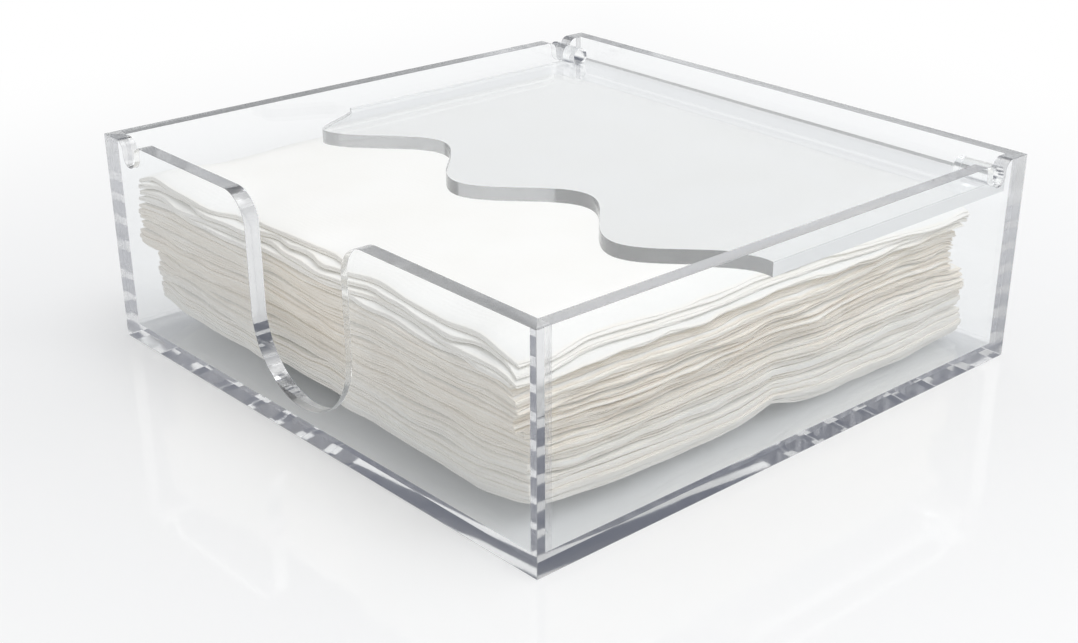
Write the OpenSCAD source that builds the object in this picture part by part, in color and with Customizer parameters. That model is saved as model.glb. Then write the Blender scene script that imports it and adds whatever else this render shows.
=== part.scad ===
// Napkin holder: a clear sheet tray with a thumb notch, a wavy-edged flap that swings on two
// short rods, and the stack of folded napkins that the flap rests on.
// Millimetres. The origin is the middle of the tray's underside, +Z is up and the notch faces -Y.

/* [Tray] */
// Outside width, left to right
tray_w = 184; // [150:1:240]
// Outside depth, front to back
tray_d = 184; // [160:1:240]
// Height of the rim above the table
tray_h = 62; // [45:0.5:90]
// Thickness of the wall sheets
wall_t = 4.5; // [3:0.1:6]
// Thickness of the base sheet
base_t = 4.5; // [3:0.1:6]

/* [Thumb notch] */
// Width of the notch in the front wall
notch_w = 42; // [30:1:60]
// Height of the notch's lowest point above the base sheet
notch_sill = 5; // [3:0.5:12]
// Rounding where the notch meets the rim
notch_shoulder_r = 9; // [3:0.5:14]

/* [Hinge] */
// Diameter of the two hinge rods
rod_d = 6; // [4.5:0.1:7]
// Flat on the underside of a rod, where it is cemented to the flap
rod_flat = 0.5; // [0.2:0.1:1]
// Length of a rod that lies on the flap
rod_on_flap = 8; // [5:0.5:20]
// How far a rod's end stays inside the wall's outer face
rod_end_inset = 0.5; // [0.2:0.1:1.5]
// Radial play of a rod in its slot
rod_play = 0.05; // [0.02:0.01:0.1]
// Depth of the open slots below the rim
slot_depth = 7; // [6:0.5:9]
// Distance from a slot's middle to the outer face of the wall beside it
slot_setback = 13; // [11:0.5:18]
// Rounding where a slot meets the rim
slot_shoulder_r = 3; // [1:0.5:3.5]

/* [Flap] */
// Thickness of the flap
flap_t = 4; // [3:0.1:5]
// Gap between the flap and each side wall
flap_side_gap = 1; // [0.5:0.1:2]
// Gap between the flap's rear edge and the back wall
flap_rear_gap = 0.8; // [0.4:0.1:2]
// Distance from the flap's rear edge to the middle line of its wavy front edge
flap_reach = 108.5; // [80:0.5:125]
// Height of the wave to each side of its middle line
wave_amp = 10; // [4:0.5:14]
// Length of one wave
wave_len = 62.5; // [40:0.5:80]
// Distance from the flap's left edge to the tip of the first lobe
wave_lead_in = 14.5; // [10:0.5:25]

/* [Napkins] */
// Number of folded napkins in the stack
napkin_count = 24; // [12:1:40]
// Free border between the stack and the tray walls
napkin_margin = 6; // [6:0.5:10]
// Gap between the flap and the stack's crown
napkin_seat_gap = 0.3; // [0.2:0.1:0.6]
// Gap between neighbouring napkins
napkin_gap = 0.1; // [0.05:0.01:0.2]
// Sideways step between the upper and the lower half of the stack
bundle_step_x = 3; // [0:0.5:3.5]
// Front-to-back step between the upper and the lower half of the stack
bundle_step_y = 5; // [0:0.5:8]
// How far the upper half of the stack stands to the left
stack_offset = 1.5; // [0:0.5:2]
// Largest stray of one napkin from its half of the stack
napkin_stray = 0.8; // [0:0.1:1]
// Width of the soft border that droops around the stack
soft_border = 15; // [12:0.5:20]
// Droop of the stack's top at its front and side edges
edge_droop = 2.4; // [0:0.1:4]
// Lift of the stack's bottom edges off the base
edge_lift = 2; // [0:0.1:3]
// Room left above the stack for the flap's rear edge to swing through
swing_room = 1.1; // [0.8:0.1:2]

/* [Hidden] */
$fn = 96;
// Length by which a cut runs past a face
cut_over = 1;
// Points along the wavy edge, for each wave
wave_steps = 24;
// Picks one set of random strays
stray_seed = 7;
acrylic = [0.86, 0.9, 0.91, 0.45];
paper = [0.96, 0.95, 0.92];

// Tray
wall_h = tray_h - base_t;
inner_w = tray_w - 2 * wall_t;
inner_d = tray_d - 2 * wall_t;

// Hinge: the rods lie in the round bottoms of the slots
slot_w = rod_d + 2 * rod_play;
rod_axis_y = tray_d / 2 - slot_setback;
rod_axis_z = tray_h - slot_depth + slot_w / 2;
rod_len = wall_t - rod_end_inset + flap_side_gap + rod_on_flap;

// Flap: it hangs under the rods' flats
flap_w = inner_w - 2 * flap_side_gap;
flap_top = rod_axis_z - rod_d / 2 + rod_flat;
flap_bottom = flap_top - flap_t;
flap_rear = inner_d / 2 - flap_rear_gap;
wave_y = flap_rear - flap_reach;
first_lobe_x = wave_lead_in - flap_w / 2;
wave_points = ceil(wave_steps * flap_w / wave_len);

// Stack: it fills the tray up to the flap, and its halves are stepped
stack_h = flap_bottom - napkin_seat_gap - base_t;
napkin_w = inner_w - 2 * napkin_margin;
napkin_d = inner_d - 2 * napkin_margin;
strays = rands(-napkin_stray, napkin_stray, 2 * napkin_count, stray_seed);

// Soft border: flat inside these lines, sloping outside them. The slope is steeper at the back,
// under the corner of the flap that swings on swing_r.
soft_x = napkin_w / 2 - soft_border;
soft_y = napkin_d / 2 - soft_border;
swing_r = norm([flap_rear - rod_axis_y, rod_axis_z - flap_bottom]);
back_drop = base_t + stack_h - (rod_axis_z - swing_r) + swing_room;
side_slope = edge_droop / soft_border;
back_slope = max(side_slope, back_drop / (rod_axis_y - soft_y));
lift_slope = edge_lift / soft_border;

function napkin_name(i) = str("napkin_", i < 10 ? "0" : "", i);

// Outline of a notch that is open at the rim: round bottom, straight sides, rounded shoulders.
// The rim is at y = 0, and the bottom at y = -depth.
module notch_outline(w, depth, shoulder_r) {
    translate([0, w / 2 - depth]) circle(d = w);
    translate([-w / 2, w / 2 - depth]) square([w, depth - w / 2 + cut_over]);
    for (side = [0, 1])
        mirror([side, 0])
            translate([w / 2, -shoulder_r])
                difference() {
                    square([shoulder_r, shoulder_r + cut_over]);
                    translate([shoulder_r, 0]) circle(r = shoulder_r);
                }
}

// Cut through a wall that runs along X, with its outer face at y, for a notch centred at x
module cut_along_x(x, y, w, depth, shoulder_r) {
    translate([x, y + wall_t + cut_over, tray_h])
        rotate([90, 0, 0])
            linear_extrude(wall_t + 2 * cut_over)
                notch_outline(w, depth, shoulder_r);
}

// Cut through a wall that runs along Y, with its left face at x, for a notch centred at y
module cut_along_y(x, y, w, depth, shoulder_r) {
    translate([x - cut_over, y, tray_h])
        rotate([90, 0, 90])
            linear_extrude(wall_t + 2 * cut_over)
                notch_outline(w, depth, shoulder_r);
}

// Wall sheet that stands on the base, with its left front corner at [x, y]
module wall_sheet(x, y, w, d) {
    translate([x, y, base_t]) cube([w, d, wall_h]);
}

module base_panel() {
    color(acrylic)
        translate([-tray_w / 2, -tray_d / 2, 0]) cube([tray_w, tray_d, base_t]);
}

// The front wall has the thumb notch, and a third slot like the hinge's near its left end
module front_wall() {
    color(acrylic)
        difference() {
            wall_sheet(-tray_w / 2, -tray_d / 2, tray_w, wall_t);
            cut_along_x(0, -tray_d / 2, notch_w, wall_h - notch_sill, notch_shoulder_r);
            cut_along_x(slot_setback - tray_w / 2, -tray_d / 2, slot_w, slot_depth, slot_shoulder_r);
        }
}

module back_wall() {
    color(acrylic)
        wall_sheet(-tray_w / 2, inner_d / 2, tray_w, wall_t);
}

// Side wall with its left face at x and an open slot for a hinge rod
module side_wall(x) {
    color(acrylic)
        difference() {
            wall_sheet(x, -inner_d / 2, wall_t, inner_d);
            cut_along_y(x, rod_axis_y, slot_w, slot_depth, slot_shoulder_r);
        }
}

module left_wall() {
    side_wall(-tray_w / 2);
}

module right_wall() {
    side_wall(inner_w / 2);
}

// Front edge of the flap: half a short wave from the left edge to the first lobe, then full waves
function wave_phase(x) = x < first_lobe_x
    ? 180 * (first_lobe_x - x) / wave_lead_in
    : 360 * (x - first_lobe_x) / wave_len;
function wave_edge(x) = wave_y - wave_amp * cos(wave_phase(x));

module flap() {
    front_edge = [
        for (i = [0:wave_points])
            let (x = flap_w * (i / wave_points - 0.5))
                [x, wave_edge(x)]
    ];
    rear_corners = [[flap_w / 2, flap_rear], [-flap_w / 2, flap_rear]];
    color(acrylic)
        translate([0, 0, flap_bottom])
            linear_extrude(flap_t)
                polygon(concat(front_edge, rear_corners));
}

// Short rod, round in its slot and with a flat where it lies on the flap
module right_hinge_rod() {
    rod_end_x = tray_w / 2 - rod_end_inset;
    flat_end_x = (flap_w + flap_side_gap) / 2;
    color(acrylic)
        difference() {
            translate([rod_end_x - rod_len, rod_axis_y, rod_axis_z])
                rotate([0, 90, 0]) cylinder(d = rod_d, h = rod_len);
            translate([rod_end_x - rod_len - cut_over, rod_axis_y - rod_d, flap_top - rod_d])
                cube([flat_end_x - (rod_end_x - rod_len) + cut_over, 2 * rod_d, rod_d]);
        }
}

module left_hinge_rod() {
    mirror([1, 0, 0]) right_hinge_rod();
}

// Height of the surface under napkin k + 1 at a point of the stack: the top droops and the bottom
// lifts in the soft border, and the layers between share both
function past(v, line) = max(0, v - line);
function droop(x, y) = side_slope * (past(abs(x), soft_x) + past(-y, soft_y)) + back_slope * past(y, soft_y);
function lift(x, y) = lift_slope * (past(abs(x), soft_x) + past(abs(y), soft_y));
function layer_z(k, x, y) =
    let (share = k / napkin_count)
        base_t + share * (stack_h - droop(x, y)) + (1 - share) * lift(x, y);

// Middle of napkin i in plan: the lower half of the stack is set back to the left and the rear
function in_lower_half(i) = 2 * i <= napkin_count;
function napkin_middle(i) = [
    strays[2 * i - 2] - stack_offset - (in_lower_half(i) ? bundle_step_x : 0),
    strays[2 * i - 1] + (in_lower_half(i) ? 1 : -1) * bundle_step_y / 2
];

// Folded napkin: a soft slab on a 4 by 4 grid of points, level inside and sloping in its border
module napkin(i) {
    middle = napkin_middle(i);
    xs = [middle.x - napkin_w / 2, -soft_x, soft_x, middle.x + napkin_w / 2];
    ys = [middle.y - napkin_d / 2, -soft_y, soft_y, middle.y + napkin_d / 2];
    lines = len(xs);
    last = lines - 1;
    under = [for (y = ys, x = xs) [x, y, layer_z(i - 1, x, y) + napkin_gap]];
    over = [for (y = ys, x = xs) [x, y, layer_z(i, x, y)]];
    top = lines * lines;
    cells = [for (row = [0:last - 1], col = [0:last - 1]) row * lines + col];
    around = concat(
        [for (n = [0:last - 1]) n],
        [for (n = [0:last - 1]) n * lines + last],
        [for (n = [0:last - 1]) lines * lines - 1 - n],
        [for (n = [0:last - 1]) (last - n) * lines]
    );
    under_faces = [for (c = cells, f = [[c, c + 1, c + lines + 1], [c, c + lines + 1, c + lines]]) f];
    over_faces = [for (f = under_faces) [top + f[0], top + f[2], top + f[1]]];
    rim = len(around);
    side_faces = [
        for (n = [0:rim - 1])
            let (a = around[n], b = around[(n + 1) % rim])
                for (f = [[a, top + a, top + b], [a, top + b, b]]) f
    ];
    color(paper)
        polyhedron(concat(under, over), concat(under_faces, over_faces, side_faces));
}

base_panel();
front_wall();
back_wall();
left_wall();
right_wall();
flap();
left_hinge_rod();
right_hinge_rod();
for (i = [1:napkin_count])
    napkin(i);
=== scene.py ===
import math

import bmesh
import bpy
import numpy as np
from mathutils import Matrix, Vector


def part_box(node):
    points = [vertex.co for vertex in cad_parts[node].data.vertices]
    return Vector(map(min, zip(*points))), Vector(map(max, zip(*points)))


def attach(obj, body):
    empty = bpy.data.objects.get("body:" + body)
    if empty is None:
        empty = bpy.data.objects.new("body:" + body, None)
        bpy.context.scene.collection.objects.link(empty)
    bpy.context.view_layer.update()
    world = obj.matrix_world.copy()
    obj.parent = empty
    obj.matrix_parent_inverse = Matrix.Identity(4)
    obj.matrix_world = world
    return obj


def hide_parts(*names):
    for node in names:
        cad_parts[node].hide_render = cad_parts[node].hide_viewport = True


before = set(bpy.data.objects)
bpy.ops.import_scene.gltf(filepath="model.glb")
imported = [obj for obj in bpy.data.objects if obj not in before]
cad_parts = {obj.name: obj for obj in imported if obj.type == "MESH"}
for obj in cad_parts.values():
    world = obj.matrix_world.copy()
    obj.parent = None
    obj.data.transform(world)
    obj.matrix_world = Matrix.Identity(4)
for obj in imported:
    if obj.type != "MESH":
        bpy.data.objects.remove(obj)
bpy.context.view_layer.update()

NEAR = 1e-5                    # two places this close are the same place
FACING = 0.9                   # a face whose normal reaches this along an axis faces that way
ARRIS = 0.00012                # rounding of the polished sheet edges
PAST = 0.002                   # how far a cutter runs past the piece that it cuts

# Sizes of the tray and flap that the boxes of the solids do not give
NOTCH_W, NOTCH_SILL, NOTCH_SHOULDER = 0.042, 0.005, 0.009
SLOT_W, SLOT_DEPTH, SLOT_SETBACK, SLOT_SHOULDER = 0.0061, 0.007, 0.013, 0.003
WAVE_AMP, WAVE_LEN, WAVE_LEAD_IN = 0.010, 0.0625, 0.0145
ROD_FLAT_END, ROD_FLAT_INNER, ROD_SEAT_GAP = 0.087, 0.02, 0.00002
NAPKIN = 0.1654                # side of a folded napkin

base_low, base_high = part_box("base_panel")
wall_low, wall_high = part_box("front_wall")
flap_low, flap_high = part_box("flap")
WALL_T = wall_high.y - wall_low.y
RIM = wall_high.z
INNER = base_high.x - WALL_T   # the inside faces of the walls, from the middle


# Shading

class Value:
    """A number on a material's socket. Its operators add Math nodes to the material."""

    def __init__(self, finish, socket):
        self.finish, self.socket = finish, socket

    def _math(self, operation, first, second):
        return self.finish.node("Math", {"operation": operation}, {0: first, 1: second})

    def __add__(self, other):
        return self._math("ADD", self, other)

    def __sub__(self, other):
        return self._math("SUBTRACT", self, other)

    def __rsub__(self, other):
        return self._math("SUBTRACT", other, self)

    def __mul__(self, other):
        return self._math("MULTIPLY", self, other)

    def most(self, other):
        return self._math("MAXIMUM", self, other)

    def least(self, other):
        return self._math("MINIMUM", self, other)

    def size(self):
        return self.finish.node("Math", {"operation": "ABSOLUTE"}, {0: self})


class Finish:
    """A material or world under construction."""

    def __init__(self, owner):
        owner.use_nodes = True
        self.tree = owner.node_tree
        self.tree.nodes.clear()

    def node(self, kind, settings=None, sockets=None, out=0):
        """Add a shader node: its settings first, then values or links for its sockets."""
        made = self.tree.nodes.new("ShaderNode" + kind)
        for name, value in (settings or {}).items():
            if name == "stops":
                ramp = made.color_ramp
                while len(ramp.elements) < len(value):
                    ramp.elements.new(0.5)
                for element, (place, colour) in zip(ramp.elements, value):
                    element.position, element.color = place, colour
            else:
                setattr(made, name, value)
        for name, value in (sockets or {}).items():
            socket = self.find(made.inputs, name)
            if isinstance(value, Value):
                self.tree.links.new(value.socket, socket)
            else:
                socket.default_value = value
        return Value(self, self.find(made.outputs, out)) if made.outputs else made

    @staticmethod
    def find(sockets, name):
        """A socket by its number, or the one in use with that name."""
        if isinstance(name, int):
            return sockets[name]
        return next(socket for socket in sockets if socket.name == name and socket.enabled)


# Painted shade: darker, warmer cream strips along a napkin's folds and raw edges, which make up the
# stack's sides, stand in for the shade and warm light between the layers: how far they are full, and where
# they end
FOLD_SHADE_STRIP = (0.0010, 0.0022)
RAW_SHADE_STRIP = (0.0003, 0.0010)
# Painted light: the lowest edges are painted paler, for the light bounced up from below, and turn to full
# cream between two heights
BOUNCE_LIT_EDGES, BOUNCE_LIT_LEAST = (0.006, 0.026), 0.35
# Cream of the painted shade on the edges, from the lowest edge tone to the highest
SHADE_CREAM = [(0.0, (0.875, 0.815, 0.73, 1)), (0.5, (0.918, 0.876, 0.802, 1)),
         (1.0, (0.955, 0.937, 0.895, 1))]
WHITE = [(0.3, (0.925, 0.918, 0.894, 1)), (0.7, (0.94, 0.936, 0.92, 1))]


def paper_finish():
    """Soft white tissue with a crepe grain and small pressed dots. Its folds and raw edges carry painted
    shade: a darker cream, for the shade between the layers in the stack's sides.
    """
    material = bpy.data.materials.new("napkin_tissue")
    f = Finish(material)
    flat = f.node("TexCoord", out="UV")
    place = f.node("TexCoord", out="Object")
    u, v = (f.node("SeparateXYZ", {}, {0: flat}, out=axis).size() for axis in "XY")
    # Painted shade: a mask of the strips along the folds and raw edges
    folded = f.node("MapRange", {}, {
        "Value": u.least(v), "From Min": FOLD_SHADE_STRIP[1], "From Max": FOLD_SHADE_STRIP[0]})
    raw = f.node("MapRange", {}, {
        "Value": (NAPKIN - u).least(NAPKIN - v), "From Min": RAW_SHADE_STRIP[1], "From Max": RAW_SHADE_STRIP[0]})
    edge = folded.most(raw)
    # Painted light: less cream on the low edges, in the light from below
    height = f.node("SeparateXYZ", {}, {0: place}, out="Z")
    edge = edge * f.node("MapRange", {}, {
        "Value": height, "From Min": BOUNCE_LIT_EDGES[0], "From Max": BOUNCE_LIT_EDGES[1], "To Min": BOUNCE_LIT_LEAST})
    crepe = f.node("TexNoise", {}, {"Vector": flat, "Scale": 900, "Detail": 3})
    dots = f.node("TexVoronoi", {"feature": "F1"}, {"Vector": flat, "Scale": 620, "Randomness": 0.15})
    cloud = f.node("TexNoise", {}, {"Vector": place, "Scale": 45, "Detail": 2})
    # Edge tone: painted light by the napkin's height in the stack, with random tone and streaks
    tone = f.node("Attribute", {"attribute_name": "edge_tone"}, out="Fac")
    shade_cream = f.node("ValToRGB", {"stops": SHADE_CREAM}, {"Fac": tone + cloud * 0.3 - 0.15})
    white = f.node("ValToRGB", {"stops": WHITE}, {"Fac": cloud})
    tint = f.node("Mix", {"data_type": "RGBA"}, {"Factor": edge, "A": white, "B": shade_cream}, out="Result")
    bump = f.node("Bump", {}, {"Strength": 0.3, "Distance": 0.0002, "Height": crepe * 0.55 + dots * 0.6})
    shader = f.node("BsdfPrincipled", {}, {
        "Base Color": tint, "Roughness": 0.92, "Specular IOR Level": 0.2, "Normal": bump})
    f.node("OutputMaterial", {}, {"Surface": shader})
    return material


def acrylic_finish(name, tint, haze_low, haze_high, waviness, passes, ior=1.49, clear=1.0):
    """Clear acrylic. The share passes of the lamplight reaches what lies behind it. Its polish is
    uneven, its surface is very slightly wavy, and a satin or sawn edge is less clear."""
    material = bpy.data.materials.new(name)
    f = Finish(material)
    place = f.node("TexCoord", out="Object")
    wipes = f.node("TexNoise", {}, {"Vector": place, "Scale": 35, "Detail": 4, "Roughness": 0.6})
    haze = f.node("MapRange", {}, {"Value": wipes, "From Min": 0.3, "From Max": 0.75,
                                   "To Min": haze_low, "To Max": haze_high})
    waves = f.node("TexNoise", {}, {"Vector": place, "Scale": 32, "Detail": 1})
    acrylic = f.node("BsdfPrincipled", {}, {
        "Base Color": (tint, tint * 1.008, tint * 1.012, 1), "Roughness": haze, "IOR": ior,
        "Transmission Weight": clear,
        "Normal": f.node("Bump", {}, {"Strength": 1, "Distance": waviness, "Height": waves})})
    passed = f.node("BsdfTransparent", {}, {"Color": (passes, passes + 0.003, passes + 0.005, 1)})
    shadow = f.node("LightPath", out="Is Shadow Ray")
    diffuse = f.node("LightPath", out="Is Diffuse Ray")
    shader = f.node("MixShader", {}, {0: shadow.most(diffuse), 1: acrylic, 2: passed})
    f.node("OutputMaterial", {}, {"Surface": shader})
    return material


def cement_finish(name, haze_low, haze_high):
    """A cemented joint: the two sheets are nearly one clear piece there, with an uneven haze."""
    material = bpy.data.materials.new(name)
    f = Finish(material)
    place = f.node("TexCoord", out="Object")
    runs = f.node("TexNoise", {}, {"Vector": place, "Scale": 220, "Detail": 2})
    haze = f.node("MapRange", {}, {"Value": runs, "From Min": 0.35, "From Max": 0.7,
                                   "To Min": haze_low, "To Max": haze_high})
    shader = f.node("BsdfPrincipled", {}, {
        "Base Color": (0.70, 0.705, 0.74, 1), "Roughness": 0.6, "Alpha": haze})
    f.node("OutputMaterial", {}, {"Surface": shader})
    return material


PAPER = paper_finish()
BASE_JOINT = cement_finish("cemented_base_joint", 0.02, 0.10)
CORNER_JOINT = cement_finish("cemented_corner_joint", 0.16, 0.36)
# Name, tint, least and most haze, waviness, lamplight passed on, refractive index and clearness
WALL_FACE = acrylic_finish("clear_wall", 0.985, 0.0, 0.02, 0.00005, 0.935)
# Painted shade: the rims and the back wall's ends have a grey tint, 0.82, for the dim light seen in them;
# their haze is a buffed finish
WALL_RIM = acrylic_finish("buffed_rim_painted_shade", 0.82, 0.06, 0.13, 0.00012, 0.935)
WALL_END = acrylic_finish("polished_wall_end", 0.97, 0.02, 0.06, 0.00012, 0.935)
BASE_FACE = acrylic_finish("clear_base", 0.985, 0.0, 0.02, 0.00005, 0.90, 1.45)
BASE_EDGE = acrylic_finish("polished_base_edge", 0.97, 0.02, 0.06, 0.00012, 0.90, 1.45)
FLAP_FACE = acrylic_finish("clear_flap", 0.988, 0.0, 0.02, 0.00003, 0.995)
# Painted shade: the flap's wavy front edge and its rounds are tinted mid grey, 0.50, for the dim light
# seen in them; they are also satin and less clear
FLAP_EDGE = acrylic_finish("satin_flap_edge_painted_shade", 0.50, 0.12, 0.20, 0.00005, 0.985, clear=0.75)
FLAP_SIDE = acrylic_finish("sawn_flap_side", 0.97, 0.20, 0.30, 0.00005, 0.985, clear=0.15)
# Painted shade: the flap's rear edge is tinted mid grey, 0.50, for the shaded band along the back; it is
# also sawn and hazy
FLAP_REAR = acrylic_finish("sawn_flap_rear_painted_shade", 0.50, 0.26, 0.36, 0.00005, 0.985, clear=0.2)
ROD = acrylic_finish("clear_rod", 0.97, 0.05, 0.12, 0.00005, 0.985)


# Modelling steps

def add_block(name, low, high):
    """A plain block from one corner to the other, with its place in its mesh."""
    bpy.ops.object.select_all(action="DESELECT")
    bpy.ops.mesh.primitive_cube_add(size=1, location=(low + high) / 2, scale=high - low)
    piece = bpy.context.object
    piece.name = piece.data.name = name
    bpy.ops.object.transform_apply(location=True, rotation=True, scale=True)
    return piece


def pick(piece):
    """Select one piece alone and make it the active one."""
    bpy.ops.object.select_all(action="DESELECT")
    piece.select_set(True)
    bpy.context.view_layer.objects.active = piece


def edit(piece, kind, chosen):
    """Go into edit mode on a piece with only the chosen edges or faces selected."""
    pick(piece)
    bpy.ops.object.mode_set(mode="EDIT")
    bpy.ops.mesh.select_mode(type=kind)
    bpy.ops.mesh.select_all(action="DESELECT")
    mesh = bmesh.from_edit_mesh(piece.data)
    for item in mesh.edges if kind == "EDGE" else mesh.faces:
        item.select_set(bool(chosen(item)))
    mesh.select_flush_mode()
    bmesh.update_edit_mesh(piece.data)


def done():
    bpy.ops.object.mode_set(mode="OBJECT")


def bevel_edges(piece, chosen, size, segments):
    edit(piece, "EDGE", chosen)
    bpy.ops.mesh.bevel(offset=size, segments=segments, affect="EDGES")
    done()


def along(edge, axis):
    """True if an edge runs along one axis."""
    step = edge.verts[1].co - edge.verts[0].co
    return abs(step[axis]) > 0.999 * step.length


def on(edge, axis, place):
    """True if both ends of an edge lie on a plane across an axis."""
    return all(abs(v.co[axis] - place) < NEAR for v in edge.verts)


def sharp(edge):
    return edge.is_manifold and edge.calc_face_angle(0) > math.radians(35)


def cut_away(piece, cutter):
    pick(piece)
    boolean = piece.modifiers.new("cut", "BOOLEAN")
    boolean.operation, boolean.solver, boolean.object = "DIFFERENCE", "EXACT", cutter
    bpy.ops.object.modifier_apply(modifier=boolean.name)
    bpy.data.objects.remove(cutter)


def cut_notch(piece, run, middle, width, depth, shoulder):
    """Cut a round-bottomed notch into a wall that runs along an axis, and round its shoulders."""
    through = 1 - run
    sides = (middle - width / 2, middle + width / 2)
    low, high = Vector(piece.bound_box[0]), Vector(piece.bound_box[6])
    low[through] -= PAST
    high[through] += PAST
    low[run], high[run] = sides
    low.z, high.z = RIM - depth, RIM + 2 * PAST
    cutter = add_block("cutter", low, high)
    bevel_edges(cutter, lambda e: along(e, through) and on(e, 2, low.z), width / 2 - NEAR, 24)
    cut_away(piece, cutter)

    def at_shoulder(edge):
        return along(edge, through) and on(edge, 2, RIM) and any(on(edge, run, s) for s in sides)

    bevel_edges(piece, at_shoulder, shoulder, 14)


def split_at(piece, axis, place):
    """Cut the faces of a piece along a plane across an axis, without removing anything."""
    edit(piece, "FACE", lambda f: True)
    point, normal = Vector(), Vector()
    point[axis], normal[axis] = place, 1
    bpy.ops.mesh.bisect(plane_co=point, plane_no=normal)
    done()


# Places in the list of finishes of an acrylic piece
FACES, EDGES, ENDS, REAR, ON_BASE, AT_CORNER = range(6)


def clear_piece(piece, node, body, across, finishes, joined=lambda face: False):
    """Finish an acrylic sheet, with its thickness along the axis across: smooth rounds, the finishes
    of its faces, its edges, its left and right ends and its rear edge, and the cemented faces."""
    pick(piece)
    bpy.ops.object.shade_smooth_by_angle(angle=math.radians(60))
    flat = piece.modifiers.new("flat_faces", "WEIGHTED_NORMAL")
    flat.mode, flat.weight, flat.keep_sharp = "FACE_AREA", 85, True
    bpy.ops.object.modifier_apply(modifier=flat.name)
    piece.data.materials.clear()
    for finish in (*finishes, BASE_JOINT, CORNER_JOINT):
        piece.data.materials.append(finish)
    for face in piece.data.polygons:
        at_end = abs(face.normal.x) > FACING and abs(face.center.x) > flap_high.x - ARRIS
        at_rear = face.normal.y > 0.98 and face.center.y > flap_high.y - NEAR
        if joined(face):
            face.material_index = ON_BASE if abs(face.normal.z) > FACING else AT_CORNER
        elif abs(face.normal[across]) > FACING:
            face.material_index = FACES
        else:
            face.material_index = ENDS if at_end else REAR if at_rear else EDGES
    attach(piece, body)
    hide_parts(node)


# Tray

def make_base():
    piece = add_block("base_sheet", base_low, base_high)
    edit(piece, "FACE", lambda f: f.normal.z > FACING)
    bpy.ops.mesh.inset(thickness=WALL_T)
    done()
    bevel_edges(piece, lambda e: sharp(e) and not on(e, 2, base_high.z), ARRIS, 2)

    def under_wall(face):
        across = max(abs(face.center.x), abs(face.center.y))
        return face.normal.z > FACING and across > INNER - NEAR

    clear_piece(piece, "base_panel", "tray", 2, (BASE_FACE, BASE_EDGE, BASE_EDGE, BASE_EDGE), under_wall)


def on_base(face):
    """True for the underside of a wall, where it is cemented to the base."""
    return face.normal.z < -FACING and face.center.z < base_high.z + NEAR


def make_end_wall(node, name, side, notched, ends):
    """Front or back wall: full width, with the ends of the side walls cemented to its inside."""
    low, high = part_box(node)
    piece = add_block(name, low, high)
    if notched:
        cut_notch(piece, 0, 0, NOTCH_W, RIM - base_high.z - NOTCH_SILL, NOTCH_SHOULDER)
        cut_notch(piece, 0, low.x + SLOT_SETBACK, SLOT_W, SLOT_DEPTH, SLOT_SHOULDER)
    split_at(piece, 0, -INNER)
    split_at(piece, 0, INNER)
    inside = side * INNER

    def at_joint(edge):
        beyond = all(abs(v.co.x) > INNER - NEAR for v in edge.verts)
        return on(edge, 2, base_high.z) or (on(edge, 1, inside) and beyond)

    bevel_edges(piece, lambda e: sharp(e) and not at_joint(e), ARRIS, 2)

    def cemented(face):
        return on_base(face) or (abs(face.center.y - inside) < NEAR and abs(face.center.x) > INNER)

    clear_piece(piece, node, "tray", 1, (WALL_FACE, WALL_RIM, ends, WALL_RIM), cemented)


def make_side_wall(node, name):
    """Side wall between the front and the back wall, with an open slot for a hinge rod."""
    low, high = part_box(node)
    piece = add_block(name, low, high)
    cut_notch(piece, 1, base_high.y - SLOT_SETBACK, SLOT_W, SLOT_DEPTH, SLOT_SHOULDER)

    def at_joint(edge):
        return on(edge, 2, base_high.z) or on(edge, 1, INNER) or on(edge, 1, -INNER)

    bevel_edges(piece, lambda e: sharp(e) and not at_joint(e), ARRIS, 2)

    def cemented(face):
        return on_base(face) or abs(abs(face.center.y) - INNER) < NEAR

    clear_piece(piece, node, "tray", 0, (WALL_FACE, WALL_RIM, WALL_END, WALL_RIM), cemented)


make_base()
make_end_wall("front_wall", "front_sheet", -1, True, WALL_END)
make_end_wall("back_wall", "back_sheet", 1, False, WALL_RIM)
make_side_wall("left_wall", "left_sheet")
make_side_wall("right_wall", "right_sheet")


# Flap and hinge rods

def wave_edge(x):
    """Front edge of the flap: a short half wave on the left, then full waves."""
    first_lobe = flap_low.x + WAVE_LEAD_IN
    turns = (first_lobe - x) / (2 * WAVE_LEAD_IN) if x < first_lobe else (x - first_lobe) / WAVE_LEN
    return flap_low.y + WAVE_AMP * (1 - math.cos(2 * math.pi * turns))


def make_flap():
    size = flap_high - flap_low
    middle_x, middle_y = (flap_low.x + flap_high.x) / 2, (flap_low.y + flap_high.y) / 2
    bpy.ops.object.select_all(action="DESELECT")
    bpy.ops.mesh.primitive_grid_add(x_subdivisions=140, y_subdivisions=1, size=1,
                                    location=(middle_x, middle_y, flap_low.z))
    piece = bpy.context.object
    piece.scale = (size.x, size.y, 1)
    piece.name = piece.data.name = "flap_plate"
    bpy.ops.object.transform_apply(location=True, rotation=True, scale=True)
    for v in piece.data.vertices:
        if v.co.y < flap_low.y + NEAR:
            v.co.y = wave_edge(v.co.x)
    edit(piece, "FACE", lambda f: True)
    bpy.ops.mesh.extrude_region_move(TRANSFORM_OT_translate={"value": (0, 0, size.z)})
    bpy.ops.mesh.select_all(action="SELECT")
    bpy.ops.mesh.normals_make_consistent(inside=False)
    done()
    bevel_edges(piece, sharp, ARRIS, 2)
    clear_piece(piece, "flap", "flap", 2, (FLAP_FACE, FLAP_EDGE, FLAP_SIDE, FLAP_REAR))


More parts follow.
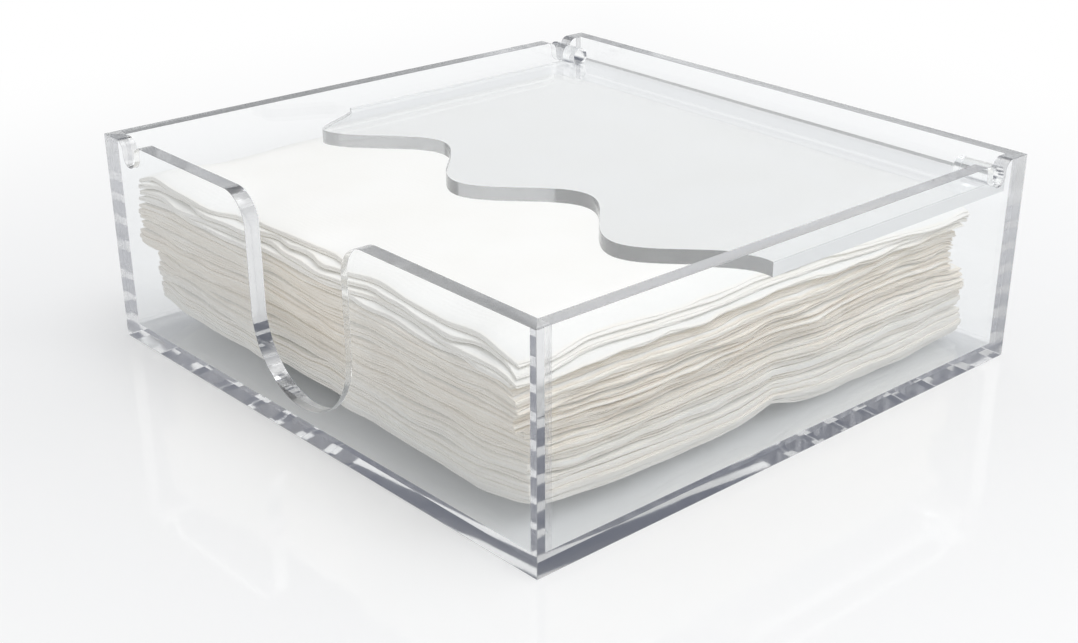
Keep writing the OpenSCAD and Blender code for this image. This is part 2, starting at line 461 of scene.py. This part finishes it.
def make_rod(node, name, side):
    """Short round rod, with a flat where it lies on the flap."""
    low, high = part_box(node)
    middle = (low + high) / 2
    bpy.ops.object.select_all(action="DESELECT")
    bpy.ops.mesh.primitive_cylinder_add(vertices=48, radius=(high.y - low.y) / 2, depth=high.x - low.x,
                                        location=middle, rotation=(0, math.pi / 2, 0))
    piece = bpy.context.object
    piece.name = piece.data.name = name
    bpy.ops.object.transform_apply(location=True, rotation=True, scale=True)
    bevel_edges(piece, sharp, ARRIS, 2)
    ends = sorted((side * ROD_FLAT_END, side * (abs(middle.x) - ROD_FLAT_INNER)))
    seat = flap_high.z + ROD_SEAT_GAP
    cut_away(piece, add_block("cutter", Vector((ends[0], low.y - PAST / 2, low.z - PAST / 2)),
                              Vector((ends[1], high.y + PAST / 2, seat))))
    clear_piece(piece, node, "flap", 0, (ROD, ROD, ROD, ROD))


make_flap()
make_rod("left_hinge_rod", "left_rod", -1)
make_rod("right_hinge_rod", "right_rod", 1)


# Napkins

NAPKINS = sorted(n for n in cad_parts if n.startswith("napkin_"))
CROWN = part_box(NAPKINS[-1])[1].z       # highest part of the stack, just under the flap
FLOOR = base_high.z                    # the stack stands on the base sheet
FOLD = 0.0012                          # how much of a sheet turns in a fold, to each side of it
STEP = 0.0032                          # between points along a sheet
LAYERS = [(0, 0), (0, 1), (1, 0), (1, 1)]
rng = np.random.default_rng(31)

# Napkins lie in bundles, as they came from the packet. A bundle is its first napkin, how far its
# raw edges reach out on the right, how thick its napkins are, how loose their layers are, and how
# pale their edges are. The paleness is painted light by height: paler low down in the light bounced up
# from below, creamiest in the shaded upper middle, and white at the top in the light from above.
BUNDLES = [(0, 0.0002, 1.10, 0.3, 0.55), (4, -0.0004, 1.06, 0.4, 0.55), (7, 0.0003, 1.00, 0.5, 0.50),
           (10, -0.0003, 0.94, 0.7, 0.45), (12, 0.0001, 0.92, 1.0, 0.35), (15, -0.0003, 0.90, 1.2, 0.30),
           (17, 0.0002, 0.97, 0.9, 0.35), (20, 0.0000, 1.02, 0.7, 1.10), (22, 0.0000, 1.02, 0.6, 1.10)]
TOP_FIRST = BUNDLES[-2][0]
# How far the raw edges of the top napkins lie back from the right of the stack
TOP_SET_BACK = {19: 0.0012, 20: 0.0022, 21: 0.0000, 22: 0.0012, 23: 0.0026}
# How far the top napkins stick out at the back on the right
TOP_FLARE = {20: 0.0008, 21: 0.0030, 22: 0.0038, 23: 0.0034}
bundle_of = [max(i for i, row in enumerate(BUNDLES) if row[0] <= n) for n in range(len(NAPKINS))]
bundle_first = [n in [row[0] for row in BUNDLES] for n in range(len(NAPKINS))]
bundle_last = bundle_first[1:] + [True]
thickness = np.array([BUNDLES[i][2] for i in bundle_of])
level_edges = np.concatenate([[0], np.cumsum(thickness)]) / thickness.sum()

# Each half of the stack lies a little apart from the other, and its napkins are nearly in line
IN_LINE, APART = 0.75, 0.0010
half = len(NAPKINS) // 2
corners = np.array([[list(c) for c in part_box(node)] for node in NAPKINS])
halves = corners.reshape(2, half, 2, 3)
corners = (halves * (1 - IN_LINE) + halves.mean(1, keepdims=True) * IN_LINE).reshape(corners.shape)
corners[:half, :, 0] += APART
corners[half:, :, 0] -= APART
spread = (NAPKIN - (corners[:, 1, :2] - corners[:, 0, :2])) / 2
corners[:, 0, :2] -= spread
corners[:, 1, :2] += spread

# Small unevenness of each napkin
STRAIGHT, TOP_FOLD, TOP_FOLD_WAVE = 0.00006, 0.0030, 0.0007
RAW_WAVE, UNEVEN, STICKS_OUT, REACH_SPREAD = 0.00018, 0.00016, 0.0007, 0.00012
ASKEW, HOLLOW = 0.0015, 0.0024
GAP_REACH, GAP_FOLD, GAP_PINCH = 0.0003, 0.0005, 0.50   # beside a gap between bundles
LAYER_PINCH, TONE_SPREAD, STREAK = 0.11, 0.16, 0.12
# Radii of the folds on the sheet's outer and inner side, in thicknesses of the napkin. At the left
# fold they are those of the outermost and the innermost pair of layers.
FRONT_ROUND = (0.09, 0.005)
LEFT_ROUND = ((0.25, 0.02), (0.14, 0.13))

# Heights of the four layers of a folded napkin within its share of the stack
LAYER_LOW = (0.02, 0.265, 0.51, 0.755)
LAYER_HIGH = (0.26, 0.49, 0.75, 0.98)


def smooth(v):
    """0 below 0, 1 above 1, and an even curve between."""
    v = np.clip(v, 0, 1)
    return v * v * (3 - 2 * v)


def bend(v, depth, start, width):
    """How far a sheet has bent at v: level before start, depth after one width, then ever steeper."""
    return depth * np.clip((v - start) / width, 0, None) ** 2


def ripple(count, shortest, longest, size):
    """A smooth random curve along one length."""
    lengths = rng.uniform(shortest, longest, count)
    phases = rng.uniform(0, 2 * math.pi, count)
    scale = size * math.sqrt(2 / count)
    return lambda s: scale * np.sin(2 * math.pi * s[..., None] / lengths + phases).sum(-1)


def stack_swell(count, size, plan_lengths, height_lengths):
    """A smooth random lift of the layers, whose change with height keeps their order."""
    across = rng.uniform(0, 2 * math.pi, count)
    plan = 2 * math.pi / rng.uniform(*plan_lengths, count)
    rise = 2 * math.pi / rng.uniform(*height_lengths, count) * rng.choice([-1, 1], count)
    phases = rng.uniform(0, 2 * math.pi, count)
    sizes = rng.uniform(0.5, 1, count)
    steepest = 0.3
    sizes *= min(size / math.sqrt((sizes ** 2).sum() / 2), steepest / np.abs(sizes * rise).sum())

    def lift(x, y, z):
        way = x[..., None] * np.cos(across) + y[..., None] * np.sin(across)
        return (sizes * np.sin(way * plan + z[..., None] * rise + phases)).sum(-1)

    return lift


bundle_fold = [ripple(6, 0.016, 0.090, 0.00035) for _ in BUNDLES]
bundle_left = [ripple(6, 0.016, 0.090, 0.00015) for _ in BUNDLES]
bundle_raw = [ripple(6, 0.016, 0.090, 0.00030) for _ in BUNDLES]
long_swell = stack_swell(7, 0.00050, (0.050, 0.120), (0.030, 0.080))
short_swell = stack_swell(14, 0.00024, (0.012, 0.036), (0.008, 0.024))
top_front_wave = ripple(5, 0.025, 0.070, 0.0007)
# How high the lowest napkins curl up along the right and the front edge: places, then heights
right_edge_lift = ([-0.085, -0.060, -0.030, -0.012, 0.000, 0.010, 0.018, 0.040, 0.085],
                   [0.0032, 0.0026, 0.0016, 0.0018, 0.0042, 0.0022, 0.0007, 0.0003, 0.0004])
front_edge_lift = ([-0.085, -0.060, -0.006, 0.004, 0.046, 0.060, 0.085],
                   [0.0048, 0.0044, 0.0042, 0.0031, 0.0029, 0.0012, 0.0012])
# Bends of the stack on each side: depth, where it starts from the middle, and its width (the curls
# take their depth from the lists above)
RIGHT_DROOP, LEFT_DROOP = (0.0068, 0.064, 0.016), (0.0028, 0.072, 0.014)
FRONT_DROOP, REAR_DROOP = (0.0009, 0.066, 0.018), (0.0052, 0.060, 0.0215)
SIDE_LIFT = (0.0015, 0.060, 0.024)
RIGHT_CURL, FRONT_CURL = (0.052, 0.024), (0.055, 0.024)
MOST_LIFT, MOST_DROOP, MOST_REAR_DROOP = 0.010, 0.0085, 0.009
# Path of the flap's lower rear edge as the flap swings: its middle and radius, and the room under it
SWING_Y, SWING_Z, SWING_R, SWING_ROOM = 0.079, 0.05805, 0.01008, 0.0006


def stack_height(share, x, y):
    """Height of a layer at a point: the stack bends down at its top edges and up at its bottom ones."""
    droop = bend(x, *RIGHT_DROOP) + bend(-x, *LEFT_DROOP) + bend(-y, *FRONT_DROOP)
    rear = bend(y, *REAR_DROOP)
    lift = bend(x, np.interp(y, *right_edge_lift), *RIGHT_CURL)
    lift = lift + bend(-y, np.interp(x, *front_edge_lift), *FRONT_CURL)
    lift = lift + bend(-x, *SIDE_LIFT) + bend(y, *SIDE_LIFT)
    lift = np.minimum(lift, MOST_LIFT)
    z = FLOOR + share * (CROWN - FLOOR) + lift * (1 - share) ** 2
    droop = np.minimum(droop, MOST_DROOP) * share ** 4
    rear = np.minimum(rear, MOST_REAR_DROOP) * share ** 2
    z = z - (droop ** 4 + rear ** 4) ** 0.25
    border = smooth((np.maximum(np.abs(x), np.abs(y)) - 0.052) / 0.024)
    pressed = smooth((share - 0.75) / 0.25) * smooth((y + 0.050) / 0.016)
    swell = long_swell(x, y, z) + short_swell(x, y, z)
    z = z + swell * border * (1 - pressed) * smooth(share / 0.15)
    z = z + top_front_wave(x) * share ** 3 * smooth((-y - 0.062) / 0.02)
    # The stack stays under the path of the flap's rear edge, and in front of the flap it may rise a little
    swing = SWING_Z - np.sqrt(np.clip(SWING_R ** 2 - (y - SWING_Y) ** 2, 0, None))
    free = CROWN + 0.001 * smooth((-y - 0.045) / 0.02)
    under = np.where(np.abs(y - SWING_Y) < 0.01, swing - SWING_ROOM, free)
    return np.clip(z, FLOOR + 0.00005, under - (1 - share) * 0.0004)


def fold_steps(length):
    """Places along a sheet from one raw edge over the fold to the other, fine at the fold."""
    arm = np.linspace(FOLD, length, int(round((length - FOLD) / STEP)) + 1)
    turn = FOLD * np.array([-0.7, -0.35, 0, 0.35, 0.7])
    return np.concatenate([-arm[::-1], turn, arm])


def make_napkin(number, node):
    """One sheet folded in four: a fold at the front, then one on the left, with raw edges on the
    right and at the back."""
    low, high = (Vector(c) for c in corners[number])
    middle, half_side = (low + high) / 2, (high - low) / 2
    us, vs = fold_steps(2 * half_side.y), fold_steps(2 * half_side.x)
    u, v = np.meshgrid(us, vs, indexing="ij")
    turn_u, turn_v = (0.5 * math.pi * np.clip(a / FOLD, -1, 1) for a in (u, v))
    upper_u, upper_v = (0.5 + 0.5 * np.sin(t) for t in (turn_u, turn_v))
    layer_weights = [[a * b for b in (1 - upper_v, upper_v)] for a in (1 - upper_u, upper_u)]

    low_level, high_level = level_edges[number], level_edges[number + 1]
    pitch = (high_level - low_level) * (CROWN - FLOOR)
    at_gap = bundle_first[number] or bundle_last[number]
    bundle = bundle_of[number]
    _, bundle_reach, _, loose, lit_pale = BUNDLES[bundle]
    reach = bundle_reach + rng.normal(0, REACH_SPREAD) - TOP_SET_BACK.get(number, 0) - GAP_REACH * at_gap
    fold_in = abs(rng.normal(0, STRAIGHT)) + GAP_FOLD * at_gap
    # The folds of the top napkins lie back in steps, and are more wavy
    top_fold_in = TOP_FOLD * np.clip((low_level - 0.86) / 0.10, 0, 1)
    top_wave = TOP_FOLD_WAVE * np.clip((low_level - 0.78) / 0.16, 0, 1)
    slant = rng.normal(0, ASKEW)
    fold_line = ripple(7, 0.012, 0.070, STRAIGHT + top_wave)
    left_line = ripple(7, 0.012, 0.080, STRAIGHT)
    right_raw = [ripple(9, 0.007, 0.050, RAW_WAVE * loose) for _ in range(2)]
    back_raw = [ripple(9, 0.007, 0.050, RAW_WAVE * loose) for _ in range(2)]
    uneven_x, uneven_y = rng.normal(0, UNEVEN * loose, (2, 2, 2))
    # Now and then one layer sticks out, and the inner layers reach furthest
    uneven_x[rng.integers(2)][rng.integers(2)] += STICKS_OUT * loose * (rng.random() < 0.35)
    rounded = loose * np.array([[-0.0002, -0.0002], [0.0001, 0.0001]])
    uneven_x, uneven_y = uneven_x + rounded, uneven_y + rounded
    pinch_right, pinch_front = ripple(6, 0.012, 0.060, 0.5), ripple(6, 0.012, 0.060, 0.5)
    pinch_most = GAP_PINCH if at_gap else LAYER_PINCH * loose
    # Edge tone: the bundle's paleness, painted light by height, spread at random per layer
    layer_tone = rng.normal(lit_pale, TONE_SPREAD, (2, 2))
    streaks = ripple(8, 0.006, 0.060, STREAK), ripple(8, 0.006, 0.060, STREAK)
    pinch_to = 0.35 if bundle_last[number] else 0.65 if bundle_first[number] else 0.5
    # At the back on the right, the middle bundles lie in and the top napkins hang over them
    lies_in = -TOP_SET_BACK[number] if number >= TOP_FIRST else HOLLOW * smooth((low_level - 0.42) / 0.15)

    def surface(levels, radius_u, radius_v):
        """One side of the sheet: levels[u][v] are heights within the napkin, from 0 to 1."""
        round_u = pitch * FRONT_ROUND[0]
        away_u = np.where(np.abs(u) < FOLD, round_u - radius_u * pitch * np.cos(turn_u),
                          round_u + np.abs(u) - FOLD)
        round_v = pitch * LEFT_ROUND[0][0]
        inner_v = radius_v[0] * (1 - upper_u) + radius_v[1] * upper_u
        away_v = np.where(np.abs(v) < FOLD, round_v - inner_v * pitch * np.cos(turn_v),
                          round_v + np.abs(v) - FOLD)
        x, y = low.x + away_v, low.y + away_u
        # Uneven folds and raw edges
        folds_in = fold_in + top_fold_in * smooth((away_v - 0.010) / 0.04)
        front_in = fold_line(away_v) + bundle_fold[bundle](away_v) + folds_in
        left_in = left_line(away_u) + bundle_left[bundle](away_u)
        y = y + front_in * (1 - smooth(away_u / 0.05))
        x = x + left_in * (1 - smooth(away_v / 0.05))
        far_v, far_u = smooth((away_v - 0.09) / 0.07), smooth((away_u - 0.09) / 0.07)
        out_x = np.where(v < 0, right_raw[0](u), right_raw[1](u)) + bundle_raw[bundle](away_u) + reach
        out_x = out_x - lies_in * smooth((away_u - 0.095) / 0.05)
        out_y = np.where(u < 0, back_raw[0](v), back_raw[1](v))
        for i, j in LAYERS:
            out_x += layer_weights[i][j] * uneven_x[i][j]
            out_y += layer_weights[i][j] * uneven_y[i][j]
        out_y += TOP_FLARE.get(number, 0) * far_v
        x, y = x + out_x * far_v, y + out_y * far_u
        # Soft corners, and the whole napkin a little askew
        off_x, off_y = x - middle.x, y - middle.y
        worn = 1 - 0.004 * np.minimum(1, (off_x / half_side.x) ** 12 * (off_y / half_side.y) ** 12)
        x = middle.x + off_x * worn - slant * off_y
        y = middle.y + off_y * worn + slant * off_x
        # The layers press together by the edges, more in some places than in others
        near_right = smooth((off_x - half_side.x + 0.008) / 0.007)
        near_front = smooth((-off_y - half_side.y + 0.008) / 0.007)
        pinch = near_right * (0.5 + 0.5 * pinch_right(u)) + near_front * (0.5 + 0.5 * pinch_front(v))
        pinch = pinch_most * np.clip(pinch, 0, 1)
        z = np.zeros_like(x)
        for i, j in LAYERS:
            level = pinch_to + (levels[i][j] - pinch_to) * (1 - pinch)
            share = low_level + level * (high_level - low_level)
            z += layer_weights[i][j] * stack_height(share, x, y)
        return np.stack([x, y, z], -1).reshape(-1, 3)

    outer_levels = (LAYER_LOW[0], LAYER_HIGH[3]), (LAYER_HIGH[1], LAYER_LOW[2])
    inner_levels = (LAYER_HIGH[0], LAYER_LOW[3]), (LAYER_LOW[1], LAYER_HIGH[2])
    outer = surface(outer_levels, FRONT_ROUND[0], LEFT_ROUND[0])
    inner = surface(inner_levels, FRONT_ROUND[1], LEFT_ROUND[1])

    rows, columns = len(us), len(vs)
    at = np.arange(rows * columns).reshape(rows, columns)
    back = at + rows * columns
    quads = np.stack([at[:-1, :-1], at[1:, :-1], at[1:, 1:], at[:-1, 1:]], -1).reshape(-1, 4)
    rims = [
        np.stack([at[:-1, -1], at[1:, -1], back[1:, -1], back[:-1, -1]], -1),
        np.stack([at[1:, 0], at[:-1, 0], back[:-1, 0], back[1:, 0]], -1),
        np.stack([at[0, :-1], at[0, 1:], back[0, 1:], back[0, :-1]], -1),
        np.stack([at[-1, 1:], at[-1, :-1], back[-1, :-1], back[-1, 1:]], -1),
    ]
    faces = np.concatenate([quads, quads[:, ::-1] + rows * columns] + rims)
    mesh = bpy.data.meshes.new(f"tissue_{number + 1:02d}")
    mesh.from_pydata(np.concatenate([outer, inner]).tolist(), [], faces.tolist())
    flat = np.stack([u, v], -1).reshape(-1, 2)
    flat = np.concatenate([flat, flat])
    mesh.uv_layers.new(name="flat_sheet").data.foreach_set("uv", flat[faces.ravel()].ravel())
    tone = sum(layer_weights[i][j] * layer_tone[i][j] for i, j in LAYERS)
    tone = tone + streaks[0](u) + streaks[1](v)
    edge_tone = mesh.attributes.new("edge_tone", "FLOAT", "POINT")
    edge_tone.data.foreach_set("value", np.tile(tone.ravel(), 2))
    piece = bpy.data.objects.new(mesh.name, mesh)
    bpy.context.scene.collection.objects.link(piece)
    pick(piece)
    bpy.ops.object.shade_smooth_by_angle(angle=math.radians(50))
    piece.data.materials.append(PAPER)
    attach(piece, "tray")
    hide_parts(node)
    return piece.name


below = "base_sheet"
for number, node in enumerate(NAPKINS):
    below = make_napkin(number, node)


# Camera, floor and light

CAMERA_PLACE, CAMERA_TURN = (0.33049, -0.30226, 0.20234), (64.205, -0.972, 46.090)
LENS, LENS_SHIFT = 55.055, (-0.0692, 0.0613)
LAMP_PLACE, LAMP_SIDE, LAMP_WATTS = Vector((0.58, 0.22, 1.25)), 1.0, 8.5
FILL = 0.70                            # brightness of the even fill
TABLE_DROP = 0.0002                    # how far the table top lies under the base
TABLE_WHITE_AT = 0.30                  # how far from the object the table top is white


def set_camera():
    bpy.ops.object.camera_add(location=CAMERA_PLACE, rotation=[math.radians(a) for a in CAMERA_TURN])
    camera = bpy.context.object
    camera.data.sensor_width, camera.data.lens = 36, LENS
    camera.data.shift_x, camera.data.shift_y = LENS_SHIFT
    camera.data.clip_start = 0.01
    bpy.context.scene.camera = camera


def lay_floor():
    """A pale glossy table top that fades into white away from the object."""
    bpy.ops.object.select_all(action="DESELECT")
    bpy.ops.mesh.primitive_plane_add(size=8, location=(0, 0, -TABLE_DROP))
    floor = bpy.context.object
    floor.name = "table_top"
    material = bpy.data.materials.new("white_table")
    f = Finish(material)
    place = f.node("TexCoord", out="Object")
    x, y = (f.node("SeparateXYZ", {}, {0: place}, out=axis).size() for axis in "XY")
    away = x.most(y) - base_high.x
    fade = f.node("MapRange", {"interpolation_type": "SMOOTHSTEP"},
                  {"Value": away, "From Min": 0.0, "From Max": TABLE_WHITE_AT, "To Min": 0.20})
    fade = fade * f.node("Math", {"operation": "GREATER_THAN"}, {0: away, 1: 0.0})
    table = f.node("BsdfPrincipled", {}, {
        "Base Color": (0.95, 0.951, 0.953, 1), "Roughness": 0.06, "IOR": 1.55})
    white = f.node("Emission", {}, {"Color": (1, 1, 1, 1), "Strength": 1})
    seen = f.node("LightPath", out="Is Camera Ray").most(f.node("LightPath", out="Is Glossy Ray"))
    seen = seen.most(f.node("LightPath", out="Is Transmission Ray"))
    shader = f.node("MixShader", {}, {0: fade * seen, 1: table, 2: white})
    f.node("OutputMaterial", {}, {"Surface": shader})
    floor.data.materials.append(material)


def light_room():
    """Even fill from all round, and a wide soft lamp high on the right, a little behind the object.
    Surfaces mirror a plain grey room, dark halfway up and light above and below."""
    world = bpy.data.worlds.new("studio")
    bpy.context.scene.world = world
    f = Finish(world)
    direction = f.node("TexCoord", out="Generated")
    height = f.node("SeparateXYZ", {}, {0: direction}, out="Z")
    room = f.node("ValToRGB", {"stops": [
        (0.16, (1, 1, 1, 1)), (0.27, (0.70, 0.71, 0.73, 1)), (0.36, (0.45, 0.46, 0.49, 1)),
        (0.43, (0.13, 0.14, 0.18, 1)), (0.64, (0.09, 0.10, 0.13, 1)), (0.82, (1, 1, 1, 1))]},
        {"Fac": height})
    fill = f.node("Background", {}, {"Color": (0.98, 0.99, 1, 1), "Strength": FILL})
    mirrored = f.node("Background", {}, {"Color": room, "Strength": 1})
    white = f.node("Background", {}, {"Color": (1, 1, 1, 1), "Strength": 1})
    traced = f.node("LightPath", out="Is Glossy Ray")
    traced = traced.most(f.node("LightPath", out="Is Transmission Ray"))
    camera = f.node("LightPath", out="Is Camera Ray")
    shader = f.node("MixShader", {}, {0: traced, 1: fill, 2: mirrored})
    shader = f.node("MixShader", {}, {0: camera, 1: shader, 2: white})
    f.node("OutputWorld", {}, {"Surface": shader})

    bpy.ops.object.light_add(type="AREA", location=LAMP_PLACE,
                             rotation=(-LAMP_PLACE).to_track_quat("-Z", "Y").to_euler())
    lamp = bpy.context.object.data
    lamp.shape = "RECTANGLE"
    lamp.size = lamp.size_y = LAMP_SIDE
    lamp.energy = LAMP_WATTS


set_camera()
lay_floor()
light_room()
scene = bpy.context.scene
scene.view_settings.view_transform = "Standard"
SHEET_BOUNCES = 80                     # light runs a long way inside the clear sheets
scene.cycles.max_bounces = SHEET_BOUNCES
scene.cycles.transmission_bounces = SHEET_BOUNCES
scene.cycles.glossy_bounces = SHEET_BOUNCES
scene.cycles.diffuse_bounces = 12
scene.cycles.transparent_max_bounces = 32
